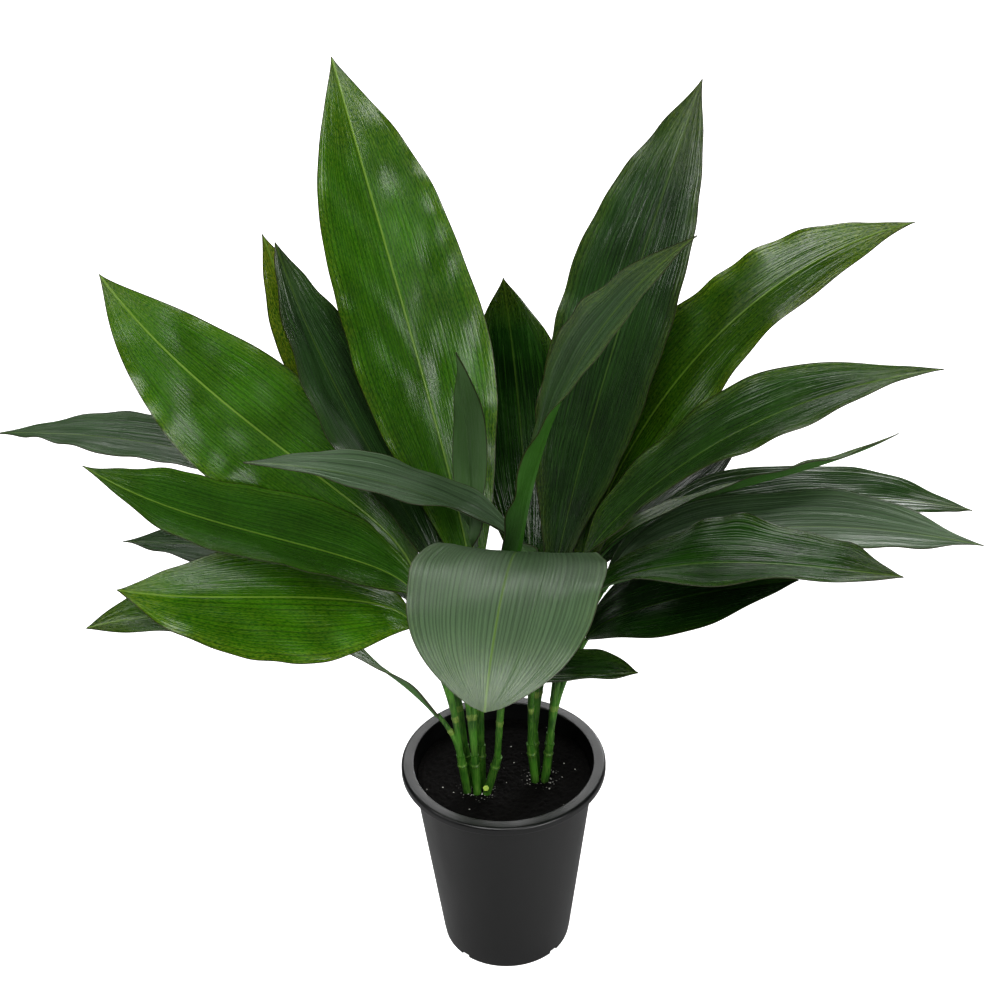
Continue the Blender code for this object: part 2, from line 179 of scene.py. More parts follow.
# %% Lamps
ROOM_GLOW = 0.85
LAMPS = {
    "key_panel": dict(place=(-0.3, -1.7, 2.7), size=(1.8, 1.6), power=48),
    "right_panel": dict(place=(1.5, -2.0, 0.8), size=(1.6, 0.6), power=20),
    "left_panel": dict(place=(-1.9, -0.4, 1.7), size=(0.7, 0.7), power=7),
    "back_panel": dict(place=(0.0, 2.6, 2.2), size=(3.0, 0.6), power=25),
    "back_right_panel": dict(place=(1.3, 2.5, 0.95), size=(1.0, 0.5), power=16),
    "horizon_strip": dict(place=(0.2, 2.8, 0.25), size=(5.0, 0.6), power=6),
}
LAMP_AIM = (0.0, 0.0, 0.35)


def lamp(name, place, size, power):
    data = bpy.data.lights.new(name, "AREA")
    data.shape = "RECTANGLE"
    data.size, data.size_y = size
    data.energy = power
    made = bpy.data.objects.new(name, data)
    made.location = place
    aim = Vector(LAMP_AIM) - Vector(place)
    made.rotation_euler = aim.to_track_quat("-Z", "Y").to_euler()
    scene.collection.objects.link(made)
    return made


for name, values in LAMPS.items():
    lamp(name, **values)
print("lamps:", len(LAMPS), "watts:", sum(values["power"] for values in LAMPS.values()))

# %% Room
world = bpy.data.worlds.new("studio")
scene.world = world
world.use_nodes = True
room = world.node_tree.nodes["Background"].inputs
room["Color"].default_value = linear("#ffffff")
room["Strength"].default_value = ROOM_GLOW
world.cycles_visibility.diffuse = world.cycles_visibility.glossy = False
world.cycles_visibility.transmission = world.cycles_visibility.scatter = False
print("room glow, seen by the camera only:", ROOM_GLOW)

# %% [markdown]
# ## The leaves: one rule for all of them
# A blade is a long ellipse that runs into a stalk, with one midrib and many parallel ribs that meet
# again at the tip. Each could be sculpted by hand, but they differ only in a few measures, so one rule
# and a short list do. The list has the cane it grows on, the stalk's length and lean, the blade's
# length and width, then the compass angle, lean and roll of its spine at base, middle and tip. It
# repeats the CAD model's numbers, so the fine blade lies where the CAD blade does.

# %% Leaf list
CANES = {
    "a": (-0.0305, -0.0215, 205, 7), "b": (-0.0222, -0.0232, 200, 2), "c": (-0.0140, -0.0238, 350, 14),
    "d": (-0.0185, -0.0148, 80, 5), "e": (-0.0275, -0.0128, 160, 6), "f": (0.0258, -0.0098, 200, 5),
    "g": (0.0340, -0.0100, 345, 6), "h": (0.0270, -0.0010, 110, 6), "i": (0.0355, -0.0015, 40, 7),
}


def leaf(cane, petiole, petiole_lean, length, width, azimuth, lean, roll=(0, 0, 0),
         fold=(20, 12), wave=(0.003, 2.0, 0), start=None, taper=0.88, fall=0.95):
    turn = start if start else (azimuth[0], azimuth[0])
    return dict(cane=cane, petiole=petiole, petiole_lean=petiole_lean, length=length, width=width,
                azimuth=azimuth, lean=lean, roll=roll, fold=fold, wave=wave, start=turn, taper=taper,
                fall=fall)


LEAVES = {
    "leaf_01": leaf("d", 0.145, (2, 10), 0.435, 0.116, (136, 126, 118), (13, 24, 32),
        roll=(-10, -10, -10), start=(60, 120), wave=(0.0025, 2.0, 40), taper=1.08),
    "leaf_02": leaf("d", 0.160, (4, 12), 0.313, 0.080, (138, 139, 136), (48, 44, 22),
        roll=(-10, -10, -10), wave=(0.003, 1.7, 100)),
    "leaf_03": leaf("b", 0.170, (4, 11), 0.298, 0.088, (160, 146, 126), (29, 32, 28),
        roll=(6, 6, 6), wave=(0.003, 2.2, 200)),
    "leaf_04": leaf("e", 0.180, (5, 18), 0.336, 0.104, (170, 169, 167), (44, 49, 31),
        roll=(-60, -60, -55), fold=(12, 4), wave=(0.002, 1.8, 10)),
    "leaf_05": leaf("e", 0.175, (4, 20), 0.398, 0.072, (160, 159, 158), (62, 87, 104),
        start=(150, 155), wave=(0.003, 2.3, 60)),
    "leaf_06": leaf("a", 0.160, (4, 14), 0.298, 0.090, (192, 189, 187), (47, 65, 46),
        roll=(-10, -10, -10), wave=(0.004, 1.8, 150)),
    "leaf_07": leaf("e", 0.150, (6, 25), 0.252, 0.070, (168, 165, 162), (66, 91, 98),
        wave=(0.003, 1.6, 250)),
    "leaf_08": leaf("a", 0.145, (4, 22), 0.246, 0.106, (194, 197, 196), (57, 76, 66),
        roll=(-25, -25, -20), fold=(-8, -16), wave=(0.0035, 1.7, 30)),
    "leaf_09": leaf("a", 0.050, (10, 30), 0.312, 0.086, (188, 186, 188), (30, 66, 102),
        roll=(22, 16, -10), fold=(6, 14), wave=(0.004, 2.6, 0), taper=1.9),
    "leaf_10": leaf("c", 0.200, (7, 21), 0.304, 0.134, (267, 263, 259), (24, 66, 142),
        fold=(4, -4), start=(305, 288), wave=(0.003, 1.5, 120), taper=0.95, fall=0.52),
    "leaf_11": leaf("f", 0.190, (2, 6), 0.268, 0.060, (206, 193, 180), (37, 60, 86),
        start=(290, 260), wave=(0.003, 2.4, 90)),
    "leaf_12": leaf("b", 0.195, (2, 5), 0.195, 0.032, (290, 262, 235), (2, 6, 14),
        fold=(35, 35), start=(70, 70), wave=(0.001, 2.0, 10)),
    "leaf_13": leaf("h", 0.140, (4, 16), 0.276, 0.088, (92, 94, 96), (36, 58, 66),
        wave=(0.003, 1.8, 300)),
    "leaf_14": leaf("h", 0.135, (4, 12), 0.426, 0.108, (38, 42, 46), (13, 23, 29),
        roll=(5, 5, 5), wave=(0.0025, 2.1, 220), taper=1.1),
    "leaf_15": leaf("c", 0.200, (6, 16), 0.380, 0.064, (300, 323, 341), (10, 21, 47),
        roll=(20, 35, 42), fold=(30, 15), start=(300, 288), wave=(0.003, 2.0, 330)),
    "leaf_16": leaf("i", 0.150, (5, 13), 0.410, 0.086, (16, 11, 8), (17, 39, 81),
        roll=(25, 25, 20), start=(32, 22), wave=(0.005, 2.3, 140)),
    "leaf_17": leaf("i", 0.185, (6, 15), 0.354, 0.088, (-20, -15, -7), (30, 50, 79),
        roll=(10, 10, 0), start=(-60, -40), wave=(0.004, 1.9, 20)),
    "leaf_18": leaf("h", 0.140, (8, 32), 0.210, 0.090, (44, 38, 32), (58, 72, 83),
        wave=(0.003, 1.6, 80)),
    "leaf_19": leaf("i", 0.155, (8, 28), 0.332, 0.085, (16, 14, 12), (62, 93, 111),
        wave=(0.003, 2.2, 170)),
    "leaf_20": leaf("g", 0.165, (6, 24), 0.311, 0.082, (355, 355, 354), (50, 84, 101),
        wave=(0.004, 2.1, 260)),
    "leaf_21": leaf("g", 0.160, (5, 20), 0.282, 0.093, (329, 331, 334), (44, 71, 82),
        wave=(0.004, 2.4, 50)),
    "leaf_22": leaf("i", 0.165, (6, 18), 0.270, 0.034, (9, 7, 4), (41, 77, 60),
        roll=(-10, -30, -33), start=(14, 11), wave=(0.002, 1.5, 0)),
    "leaf_23": leaf("g", 0.120, (6, 24), 0.184, 0.086, (345, 349, 352), (52, 68, 80),
        roll=(16, 16, 12), wave=(0.003, 1.6, 190)),
    "leaf_24": leaf("f", 0.074, (4, 14), 0.122, 0.056, (296, 322, 336), (50, 64, 70),
        start=(270, 290), fold=(26, 22), wave=(0.003, 1.8, 240)),
}
print("leaves:", len(LEAVES))

# %% [markdown]
# Old and young leaves grow side by side. Five numbers say how yellow a blade's margins are, how light
# its green is (partly its own colour, partly painted shade on blades that stand in shade), how much
# grey it carries (a painted sheen mixed into its green, which also dulls its wax), how deep its ribs
# are and how far it buckles between them (the last two in millimetres).

# %% Leaf habits
# (yellow margins, light green and painted shade, grey painted sheen, rib depth mm, buckle mm),
# in the order of the leaf list
HABITS = dict(zip(LEAVES, (
    (0.45, 0.95, 0.05, 0.12, 1.15), (0.95, 0.90, 0.00, 0.10, 0.70), (0.15, 0.05, 0.15, 0.28, 0.85),
    (0.45, 0.90, 0.00, 0.14, 0.90), (0.15, 0.15, 0.50, 0.42, 0.70), (0.30, 0.75, 0.10, 0.20, 0.85),
    (0.05, 0.00, 0.10, 0.25, 0.60), (0.60, 0.95, 0.00, 0.16, 0.85), (0.45, 0.50, 0.00, 0.20, 0.80),
    (0.45, 0.35, 0.85, 0.28, 0.45), (0.10, 0.10, 0.80, 0.45, 0.70), (0.00, 0.45, 1.00, 0.16, 0.30),
    (0.35, 0.00, 0.00, 0.30, 0.70), (0.45, 0.05, 0.12, 0.42, 0.90), (0.70, 0.15, 0.45, 0.45, 0.70),
    (0.75, 0.45, 0.00, 0.20, 0.80), (0.45, 0.35, 0.10, 0.26, 0.85), (0.10, 0.00, 0.10, 0.50, 0.70),
    (0.25, 0.25, 0.30, 0.35, 0.75), (0.30, 0.35, 0.85, 0.35, 0.75), (0.25, 0.20, 0.05, 0.30, 0.75),
    (0.60, 0.85, 0.10, 0.15, 0.25), (0.10, 0.00, 0.00, 0.25, 0.60), (0.30, 0.20, 0.05, 0.40, 0.50),
)))
print("deepest ribs:", max(habit[3] for habit in HABITS.values()), "mm")

# %% [markdown]
# ### Spine and outline
# A direction is a compass angle and a lean from upright. A curve's handles say little about how a leaf
# droops, so the spine is directions added up in small steps, along the stalk and then the blade. The
# outline is a power curve that rises from the stalk and falls to a sharp tip.

# %% Spine and outline
SOIL_TOP = 0.1720
CANE_LENGTH = 0.038
GAP = 0.0003  # metres left between the stalk's end and the blade
PETIOLE_STEPS = 60
SPINE_STEPS = 120
BLADE_EASE = 0.25  # share of the blade that bends out of the stalk's direction
BLADE_TIP_HALF = 0.0006
BLADE_BASE_HALF = 0.0021


def direction(azimuth, lean):
    turn, tilt = np.radians(azimuth), np.radians(lean)
    return np.stack([np.sin(tilt) * np.cos(turn), np.sin(tilt) * np.sin(turn), np.cos(tilt)], -1)


def through(values, v):
    base, middle, tip = values
    return base * (1 - v) * (1 - 2 * v) + middle * 4 * v * (1 - v) + tip * v * (2 * v - 1)


def petiole_path(data):
    s = np.linspace(0.0, 1.0, PETIOLE_STEPS + 1)
    azimuth = data["start"][0] + (data["start"][1] - data["start"][0]) * s
    first, last = data["petiole_lean"]
    ways = direction(azimuth, first + (last - first) * s * s * (3 - 2 * s))
    moved = np.cumsum((ways[1:] + ways[:-1]) / 2 * data["petiole"] / PETIOLE_STEPS, axis=0)
    x, y, turn, lean = CANES[data["cane"]]
    origin = np.array([x, y, SOIL_TOP]) + direction(turn, lean) * CANE_LENGTH
    return np.vstack([origin, origin + moved])


# %% Outline
def half_width(data, v):
    rise, fall = data["taper"], data["fall"]
    peak = rise / (rise + fall)
    shape = np.clip(v, 0, 1) ** rise * np.clip(1 - v, 0, 1) ** fall / (peak ** rise * (1 - peak) ** fall)
    foot = BLADE_BASE_HALF * (1 - v) ** 3
    return np.sqrt((data["width"] / 2 * shape) ** 2 + foot ** 2 + (BLADE_TIP_HALF * v) ** 2)


print("leaf_01 half way up:", 2 * half_width(LEAVES["leaf_01"], np.array(0.5)).round(4), "m wide")

# %% Spine with its across and up directions
def blade_frames(data, v):
    """Spine points, across directions and up-facing normals at the fractions v of the blade."""
    fine = np.linspace(0.0, 1.0, SPINE_STEPS + 1)
    ease = np.clip(1 - fine / BLADE_EASE, 0.0, 1.0) ** 2
    azimuth = through(data["azimuth"], fine)
    azimuth = azimuth + (data["start"][1] - azimuth[0]) * ease
    lean = through(data["lean"], fine)
    lean = lean + (data["petiole_lean"][1] - lean[0]) * ease
    roll = np.radians(through(data["roll"], fine))[:, None]
    ways = direction(azimuth, lean)
    foot = petiole_path(data)
    end = foot[-1] - foot[-2]
    origin = foot[-1] + end / np.linalg.norm(end) * GAP
    steps = (ways[1:] + ways[:-1]) / 2 * data["length"] / SPINE_STEPS
    spine = np.vstack([origin, origin + np.cumsum(steps, axis=0)])
    turn, tilt = np.radians(azimuth), np.radians(lean)
    facing = np.stack([-np.cos(tilt) * np.cos(turn), -np.cos(tilt) * np.sin(turn), np.sin(tilt)], -1)
    across = np.cross(ways, facing)
    normal = facing * np.cos(roll) + across * np.sin(roll)
    across = across * np.cos(roll) - facing * np.sin(roll)
    return [np.stack([np.interp(v, fine, rows[:, k]) for k in range(3)], -1)
            for rows in (spine, across, normal)]


print("tip of leaf_01:", blade_frames(LEAVES["leaf_01"], np.ones(1))[0].round(3))


# %% [markdown]
# ### Ribs, groove and buckles
# The soft streaks of light on these leaves are ribs catching a lamp, so they are real relief and not a
# bump map. They lie about three millimetres apart at the widest place, each with its own height and a
# finer twin, and run together at both ends. Long buckles between them break wide reflections up, the
# margin flaps, and a groove follows the midrib. All of it fades out at the stalk and the tip.

# %% Relief of a blade
RIB_SPACING = 0.0031
RIB_DRIFT = 0.45  # how far, in ribs, the spacing wanders
RIB_TWIN = 0.35  # height of the fine ribs, as a share of the main ones
GROOVE_DEPTH = 0.00035
GROOVE_HALF = 0.0011
BUCKLE_WAVES = 9
BUCKLE_LONG = (0.050, 0.150)
BUCKLE_WIDE = (0.028, 0.095)
MIDRIB_STIFF = 0.012  # metres beside the midrib where the buckles grow to full height
MARGIN_FLAP = 0.0011
FLAP_WAVES = 4
FLAP_LONG = (0.030, 0.080)
END_FADE = 0.10  # share of the blade at each end where the relief fades


def rib_lines(u, across, dice):
    ribs = round(float(np.abs(across).max()) / RIB_SPACING)
    heights = dice.uniform(0.35, 1.0, (2, ribs + 2))
    drift = dice.uniform(0, 2 * pi, 2)
    side = (u > 0).astype(int)
    place = np.abs(u) * ribs + RIB_DRIFT * np.sin(2 * pi * 2.6 * np.abs(u) + drift[side])
    own = heights[side, np.clip(place.astype(int), 0, ribs)]
    main = (0.5 - 0.5 * np.cos(2 * pi * place)) ** 0.8
    return own * (main + RIB_TWIN * np.sin(2 * pi * (place * 2.3 + side * 0.4)))


def buckles(u, across, along, dice):
    rolls = np.zeros(across.shape)
    for k in range(BUCKLE_WAVES):
        long, wide = dice.uniform(*BUCKLE_LONG), dice.uniform(*BUCKLE_WIDE) * (1 if k % 2 else -1)
        phase, size = dice.uniform(0, 2 * pi), dice.uniform(0.4, 1.0)
        rolls += size * np.sin(2 * pi * (along / long + across / wide) + phase)
    near_midrib = np.clip(np.abs(across) / MIDRIB_STIFF, 0, 1)
    near_margin = np.clip((1 - np.abs(u)) / 0.12, 0.25, 1)[None, :]
    return rolls / BUCKLE_WAVES ** 0.5 * near_midrib * near_margin


def margin_flap(u, v, along, dice):
    flap = np.zeros((len(v), 2))
    for _ in range(FLAP_WAVES):
        pitch, phase = dice.uniform(*FLAP_LONG, 2), dice.uniform(0, 2 * pi, 2)
        flap += np.sin(2 * pi * along[:, :1] / pitch[None, :] + phase[None, :])
    outer = (np.abs(u) ** 3)[None, :]
    return MARGIN_FLAP / 2 * flap[:, (u > 0).astype(int)] * outer * np.clip(v / 0.3, 0, 1)[:, None]


def relief(u, v, across, along, rib, buckle, dice):
    fade = (np.clip(v / END_FADE, 0, 1) * np.clip((1 - v) / END_FADE, 0, 1))[:, None]
    ridges = rib * rib_lines(u, across, dice)[None, :] * fade
    rolls = buckle * buckles(u, across, along, dice) * fade
    rolls += margin_flap(u, v, along, dice) * fade
    groove = GROOVE_DEPTH * np.exp(-(across / GROOVE_HALF) ** 2) * fade
    return ridges + rolls - groove, ridges / (rib * (1 + RIB_TWIN))


widest = LEAVES["leaf_10"]["width"] / 2
print("ribs in half of the widest blade:", round(widest / RIB_SPACING))

# %% [markdown]
# ### Building a blade
# A real blade has thickness and a keel, so each is one closed mesh and not a sheet: a fine upper skin, a
# coarser underside with the midrib's keel, and a thin margin. Four vectors are kept with each point for
# the finish: its place in metres (across, along, in from the margin), its share (chance offset, along,
# underside), the blade's habit (yellow; light, partly painted shade; grey, a painted sheen) and how high
# it lies on a rib, which the finish uses for painted shade in the valleys between ribs.

# %% Blade measures
TOP_COLUMNS = 241
UNDER_COLUMNS = 61
BLADE_LINES = 110
TIP_DRAW = 0.45  # how much narrower the last part is drawn
TIP_DRAW_RUN = 0.06  # share of the blade that it covers
OUTLINE_WANDER = 0.02
MARGIN_THICK = 0.0005
WEB_THICK = 0.0008
KEEL_THICK = 0.0026
KEEL_HALF = 0.0016
UNDER_RIB = 0.4  # ribs show this much on the underside
CUP_ROUND = 0.15  # how round the fold along the midrib is
FIRST_SEED = 11
LOW, HIGH = (np.array(corner) for corner in CAD_BOX)


def inside(points):
    """Keeps points within the CAD box."""
    return np.clip(points, LOW + 1e-5, HIGH - 1e-5)


def mesh_piece(name, points, faces, vectors=None, sharp=40.0):
    mesh = bpy.data.meshes.new(name)
    mesh.from_pydata(inside(np.asarray(points)).tolist(), [], faces)
    for label, rows in (vectors or {}).items():
        layer = mesh.attributes.new(label, "FLOAT_VECTOR", "POINT")
        layer.data.foreach_set("vector", np.asarray(rows, np.float32).ravel())
    made = bpy.data.objects.new(name, mesh)
    scene.collection.objects.link(made)
    mesh.shade_smooth()
    mesh.set_sharp_from_angle(angle=radians(sharp))
    return made


def grid_faces(rows, columns, start, flip):
    a = (np.arange(rows - 1)[:, None] * columns + np.arange(columns - 1)[None, :]).ravel() + start
    quads = np.stack([a, a + 1, a + columns + 1, a + columns], -1)
    return (quads[:, ::-1] if flip else quads).tolist()


print("points in the upper skin of a blade:", TOP_COLUMNS * BLADE_LINES)


# %% One skin of a blade
def blade_skin(data, columns, habit, seed, under):
    v = np.linspace(0.0, 1.0, BLADE_LINES)
    u = np.linspace(-1.0, 1.0, columns)
    spine, across, normal = blade_frames(data, v)
    half = half_width(data, v) * (1 - TIP_DRAW * np.exp(-(1 - v) / TIP_DRAW_RUN))
    half = half * (1 + OUTLINE_WANDER * np.sin(2 * pi * (2.7 * v + seed * 0.19)) * np.sin(pi * v))
    fold = np.radians(data["fold"][0] + (data["fold"][1] - data["fold"][0]) * v)
    cup = np.sqrt(u * u + CUP_ROUND ** 2) - CUP_ROUND
    lateral = half[:, None] * u[None, :] * np.cos(fold)[:, None]
    raised = half[:, None] * cup[None, :] * np.sin(fold)[:, None]
    height, cycles, phase = data["wave"]
    swell = np.abs(np.sin(pi * v)) ** 0.7
    shift = np.where(u < 0, 0.0, 2.2)
    ripple = np.sin(2 * pi * (cycles * v[:, None] + phase / 360.0) + shift[None, :])
    raised = raised + height * swell[:, None] * np.abs(u)[None, :] ** 1.6 * ripple
    reach = half[:, None] * u[None, :]
    along = np.repeat((v * data["length"])[:, None], columns, 1)
    rib = habit[3] * 0.001 * (UNDER_RIB if under else 1.0)
    dice = np.random.default_rng(seed)
    lifted, ridge = relief(u, v, reach, along, rib, habit[4] * 0.001, dice)
    raised = raised + lifted
    if under:
        web = MARGIN_THICK + (WEB_THICK - MARGIN_THICK) * (1 - np.abs(u) ** 4)[None, :]
        taper = ((1 - v) ** 1.3)[:, None]
        raised = raised - web - (KEEL_THICK - WEB_THICK) * taper * np.exp(-(reach / KEEL_HALF) ** 2)
    points = (spine[:, None, :] + across[:, None, :] * lateral[:, :, None]
              + normal[:, None, :] * raised[:, :, None])
    place = np.stack([reach, along, half[:, None] * (1 - np.abs(u))[None, :]], -1)
    share = np.stack([np.full_like(reach, seed * 0.37), np.repeat(v[:, None], columns, 1),
                      np.full_like(reach, float(under))], -1)
    return points, place, share, ridge


# %% Two skins and a margin make a closed blade
def blade_faces():
    start = TOP_COLUMNS * BLADE_LINES
    faces = grid_faces(BLADE_LINES, TOP_COLUMNS, 0, False)
    faces += grid_faces(BLADE_LINES, UNDER_COLUMNS, start, True)
    i = np.arange(BLADE_LINES - 1)
    for top, low, flip in ((0, 0, False), (TOP_COLUMNS - 1, UNDER_COLUMNS - 1, True)):
        a, b = i * TOP_COLUMNS + top, start + i * UNDER_COLUMNS + low
        wall = np.stack([a, a + TOP_COLUMNS, b + UNDER_COLUMNS, b], -1)
        faces += (wall[:, ::-1] if flip else wall).tolist()
    for line, flip in ((0, True), (BLADE_LINES - 1, False)):
        top = [line * TOP_COLUMNS + k for k in range(TOP_COLUMNS)]
        low = [start + line * UNDER_COLUMNS + k for k in range(UNDER_COLUMNS)]
        ring = top + low[::-1]
        faces.append(ring[::-1] if flip else ring)
    return faces


def make_blade(name, data, habit, seed):
    upper = blade_skin(data, TOP_COLUMNS, habit, seed, False)
    lower = blade_skin(data, UNDER_COLUMNS, habit, seed, True)
    points, place, share = (np.vstack([a.reshape(-1, 3), b.reshape(-1, 3)])
                            for a, b in zip(upper[:3], lower[:3]))
    habits = np.repeat(np.array([habit[:3]]), len(points), 0)
    ridge = np.concatenate([upper[3].ravel(), lower[3].ravel()])
    return mesh_piece(name, points, blade_faces(), {
        "leaf_place": place, "leaf_share": share, "leaf_habit": habits,
        "leaf_ridge": np.stack([ridge, ridge, ridge], -1)})


BLADES = {}
for count, (name, data) in enumerate(LEAVES.items()):
    blade = make_blade("blade_" + name[-2:], data, HABITS[name], FIRST_SEED + count)
    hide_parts(name)
    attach(blade, "root")
    BLADES[name] = blade
print("blades:", len(BLADES), "points in each:", len(blade.data.vertices))

# %% [markdown]
# ### Finish of the blades: waxy leaf skin
# A painted leaf would repeat on every blade, so the greens are worked out from each blade's own
# millimetres. On deep green, thin streaks follow the veins, yellow gathers at the margin and tip, the
# midrib is one pale line, and a hair of brown runs along the edge. Painted shade darkens the valleys
# between the ribs, and blades that stand in shade get darker greens. The underside is paler and duller.
# A plant cuticle has an IOR near 1.45. The wax over it is smooth (roughness about 0.2 to 0.35, never
# even) and reflects a little more than bare skin. A grey painted sheen is mixed into the greens of some
# blades, and the same number dulls their wax.

# %% Waxy leaf skin
DEEP_GREEN = "#0e2806"
LEAF_GREEN = "#1a4206"
LIGHT_GREEN = "#3a7a02"
STREAK_GREEN = "#3c681a"
YELLOW_GREEN = "#8fa02c"
PAINTED_SHEEN_GREY = "#697f64"
MIDRIB_GREEN = "#7fa040"
PAINTED_VALLEY_SHADE = "#071305"
MARGIN_BROWN = "#2f2a12"
UNDER_GREEN = "#567449"
VEIN_STREAK = 0.0011  # metres between streaks
STREAK_RUN = 0.045  # metres that one streak runs
BLOTCH = 0.050  # metres across a lighter patch
SPECK = 0.0007  # metres across a yellow fleck
YELLOW_EDGE = 0.012  # metres in from the margin where the yellow starts
BROWN_EDGE = 0.0009
MIDRIB_LINE = 0.0010  # metres from the middle to the end of the pale line
SKIN_RELIEF = 0.00022  # metres, twice the real pits and veins, so that they catch light

waxy, tree = new_finish("waxy_leaf_skin")
place = add(tree, "Attribute", attribute_name="leaf_place").outputs["Vector"]
share = add(tree, "Attribute", attribute_name="leaf_share").outputs["Vector"]
habit = add(tree, "Attribute", attribute_name="leaf_habit").outputs["Vector"]
ridge = add(tree, "Attribute", attribute_name="leaf_ridge").outputs["Fac"]
across, along, margin = add(tree, "SeparateXYZ", [place]).outputs
seed, tipward, underside = add(tree, "SeparateXYZ", [share]).outputs
yellow, light, grey = add(tree, "SeparateXYZ", [habit]).outputs
print("upper greens:", DEEP_GREEN, LEAF_GREEN, LIGHT_GREEN)

# %% Leaf patterns: patches of lighter and darker green, streaks along the veins, and flecks of yellow
slow = add(tree, "Math", [along, VEIN_STREAK / STREAK_RUN], operation="MULTIPLY")
short = add(tree, "Math", [along, 0.25], operation="MULTIPLY")
flat = add(tree, "CombineXYZ", [across, along, seed])
drawn = add(tree, "CombineXYZ", [across, slow, seed])
dashed = add(tree, "CombineXYZ", [across, short, seed])
patches = add(tree, "TexNoise", {"Vector": flat, "Scale": 1 / BLOTCH, "Detail": 3.0})
streaks = add(tree, "TexNoise", {
    "Vector": drawn, "Scale": 1 / VEIN_STREAK, "Detail": 3.0, "Roughness": 0.6})
flecks = add(tree, "TexNoise", {
    "Vector": dashed, "Scale": 1 / SPECK, "Detail": 2.0, "Roughness": 0.6})
print("pattern nodes:", patches.name, streaks.name, flecks.name)

# %% Greens of the upper skin
patch = add(tree, "MapRange", [patches, 0.35, 0.65])
tint = add(tree, "Mix", {0: patch, 6: linear(DEEP_GREEN), 7: linear(LEAF_GREEN)}, **COLOURS)
# Painted shade in part: each blade's light number, low on blades that stand in shade, sets how much light
# green it gets.
light_green_share = add(tree, "MapRange", [patches, 0.25, 0.70, 0.45, 1.0])
light_green_share = add(tree, "Math", [light, light_green_share], operation="MULTIPLY")
tint = add(tree, "Mix", {0: light_green_share, 6: tint, 7: linear(LIGHT_GREEN)}, **COLOURS)
streak = add(tree, "MapRange", [streaks, 0.48, 0.70, 0.0, 0.5])
tint = add(tree, "Mix", {0: streak, 6: tint, 7: linear(STREAK_GREEN)}, **COLOURS)
mottle = add(tree, "MapRange", [flecks, 0.50, 0.30, 0.0, 0.45])
tint = add(tree, "Mix", {0: mottle, 6: tint, 7: linear(DEEP_GREEN)}, **COLOURS)

# %% Yellow margins, grey painted sheen, painted shade between the ribs and the pale midrib
rim = add(tree, "MapRange", [margin, YELLOW_EDGE, 0.0005, 0.0, 0.6])
tip = add(tree, "MapRange", [tipward, 0.80, 1.0])
rim = add(tree, "Math", [rim, tip], operation="MAXIMUM")
rim = add(tree, "Math", [light, 0.35, rim], operation="MULTIPLY_ADD")
ripe = add(tree, "MapRange", [yellow, 0.72, 0.95, 0.0, 0.7])
rim = add(tree, "Math", [rim, ripe], operation="ADD")
rim = add(tree, "Math", [rim, yellow], operation="MULTIPLY")
fleck = add(tree, "MapRange", [flecks, 0.36, 0.66])
fleck = add(tree, "Math", [rim, fleck], operation="MULTIPLY")
tint = add(tree, "Mix", {0: fleck, 6: tint, 7: linear(YELLOW_GREEN)}, **COLOURS)
# Painted sheen: a grey mixed into the green stands in for the broad shine that the wax reflects.
painted_sheen = add(tree, "Math", [grey, 0.80], operation="MULTIPLY")
tint = add(tree, "Mix", {0: painted_sheen, 6: tint, 7: linear(PAINTED_SHEEN_GREY)}, **COLOURS)
# Painted shade: the valleys between the ribs are darkened, where the ribs shade them.
painted_valley_shade = add(tree, "MapRange", [ridge, 0.32, 0.0, 0.0, 0.40])
tint = add(tree, "Mix", {0: painted_valley_shade, 6: tint, 7: linear(PAINTED_VALLEY_SHADE)}, **COLOURS)
aside = add(tree, "Math", [across], operation="ABSOLUTE")
centre = add(tree, "MapRange", [aside, MIDRIB_LINE, MIDRIB_LINE / 2])
bright = add(tree, "MapRange", [light, 0.0, 0.8, 0.15, 0.75])
centre = add(tree, "Math", [centre, bright], operation="MULTIPLY")
tint = add(tree, "Mix", {0: centre, 6: tint, 7: linear(MIDRIB_GREEN)}, **COLOURS)

# %% Underside, brown edge, wax and micro relief
faint = add(tree, "MapRange", [streaks, 0.40, 0.70, 0.0, 0.5])
below = add(tree, "Mix", {0: faint, 6: linear(UNDER_GREEN), 7: linear(STREAK_GREEN)}, **COLOURS)
young = add(tree, "MapRange", [yellow, 0.2, 0.7, 0.0, 0.7])
below = add(tree, "Mix", {0: young, 6: below, 7: linear(LIGHT_GREEN)}, **COLOURS)
tint = add(tree, "Mix", {0: underside, 6: tint, 7: below}, **COLOURS)
brown = add(tree, "MapRange", [margin, BROWN_EDGE, BROWN_EDGE / 3, 0.0, 0.85])
tint = add(tree, "Mix", {0: brown, 6: tint, 7: linear(MARGIN_BROWN)}, **COLOURS)
wax_patch = add(tree, "MapRange", [patches, 0.3, 0.7, 0.14, 0.23])
rough = add(tree, "Math", [streaks, 0.14, wax_patch], operation="MULTIPLY_ADD")
rough = add(tree, "Math", [underside, 0.15, rough], operation="MULTIPLY_ADD")
rough = add(tree, "Math", [grey, 0.16, rough], operation="MULTIPLY_ADD")
pits = add(tree, "Math", [flecks, 0.6, streaks], operation="MULTIPLY_ADD")
skin = add(tree, "Bump", {"Height": pits, "Strength": 1.0, "Distance": SKIN_RELIEF})
wax = add(tree, "BsdfPrincipled", {
    "Base Color": tint, "Roughness": rough, "IOR": 1.45, "Specular IOR Level": 0.75, "Normal": skin})
add(tree, "OutputMaterial", {"Surface": wax})
for blade in BLADES.values():
    blade.data.materials.append(waxy)
print("leaf skin nodes:", len(tree.nodes))

# %% [markdown]
# ## Stems
# Each stem is a short cane that forks into smooth stalks, one for each blade, with a raised ring like a
# bamboo joint on the cane and on each stalk. One cane also has a cut stub. Bevelled curves would only
# pass through each other, so swept tubes are joined into one solid. Joining forgets where a point came
# from, so every point then looks up the nearest place on the paths, for the pale rings and cut end.

